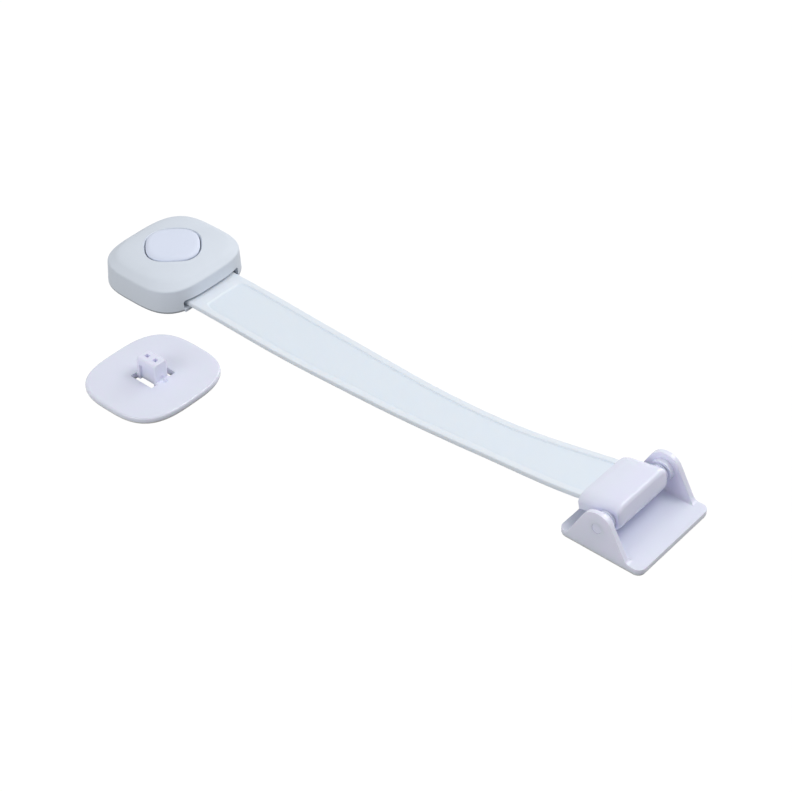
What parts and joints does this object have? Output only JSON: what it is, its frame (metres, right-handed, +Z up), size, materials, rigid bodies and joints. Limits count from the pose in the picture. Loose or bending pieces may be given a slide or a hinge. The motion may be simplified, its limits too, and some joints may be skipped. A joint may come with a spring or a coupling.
{
  "type": "toilet lid lock",
  "caption": "Adhesive child lock for a toilet lid: hinged bracket, flexible translucent strap, push-button latch head and separate catch plate.",
  "frame": {"origin": "centre of the bracket pad's adhesive face, in the plane that the whole part lies on", "axes": "+Z up from the surface, the strap runs along -X from the bracket to the lock head, +Y across the strap"},
  "size_m": [0.2797, 0.1071, 0.0193],
  "materials": {
    "head_grey": "fine matte moulding, pale blue-grey",
    "button_white": "satin moulding, cool white",
    "bracket_white": "satin gloss moulding, cool white",
    "catch_white": "satin gloss moulding, cool white",
    "jaw_white": "self-lubricating plastic, off-white",
    "strap_clear": "translucent elastomer, smooth panel with a raised border",
    "pad_foam": "double-sided foam tape",
    "steel": "plain steel"
  },
  "bodies": {
    "bracket": {"base_bracket": "bracket_white", "bracket_pad": "pad_foam", "hinge_pin": "bracket_white", "hinge_bush_near": "bracket_white", "hinge_bush_far": "bracket_white"},
    "strap_arm": {"hinge_block": "bracket_white", "strap_clamp": "bracket_white", "clamp_screws": "steel", "strap": "strap_clear"},
    "lock_head": {"head_shell": "head_grey", "head_cover": "head_grey", "head_screws": "steel", "button_spring": "steel", "jaw_spring_near": "steel", "jaw_spring_far": "steel"},
    "button": {"push_button": "button_white"},
    "jaw_near": {"latch_jaw_near": "jaw_white"},
    "jaw_far": {"latch_jaw_far": "jaw_white"},
    "catch": {"catch_plate": "catch_white", "catch_pad": "pad_foam"}
  },
  "joints": [
    {"name": "base_hinge", "type": "hinge", "parent": "bracket", "child": "strap_arm", "pos_m": [-0.0018, 0, 0.0122], "axis": [0, 1, 0], "range_deg": [0, 180]},
    {"name": "strap_flex", "type": "hinge", "parent": "strap_arm", "child": "lock_head", "pos_m": [-0.115, 0, 0.0015], "axis": [0, -1, 0], "range_deg": [-90, 0], "stiffness_Nm_per_rad": 0.02, "deforming": ["strap"]},
    {"name": "button_press", "type": "slide", "parent": "lock_head", "child": "button", "axis": [0, 0, -1], "range_m": [0, 0.0025], "stiffness_N_per_m": 600, "deforming": ["button_spring"]},
    {"name": "jaw_near_slide", "type": "slide", "parent": "lock_head", "child": "jaw_near", "axis": [0, -1, 0], "range_m": [0, 0.0015], "deforming": ["jaw_spring_near"]},
    {"name": "jaw_far_slide", "type": "slide", "parent": "lock_head", "child": "jaw_far", "axis": [0, 1, 0], "range_m": [0, 0.0015], "deforming": ["jaw_spring_far"]},
    {"name": "catch_lift", "type": "slide", "parent": "bracket", "child": "catch", "axis": [0, 0, 1], "range_m": [0, 0.04]}
  ],
  "couplings": [
    {"joint": "jaw_near_slide", "follows": "button_press", "ratio": 0.6},
    {"joint": "jaw_far_slide", "follows": "button_press", "ratio": 0.6}
  ]
}
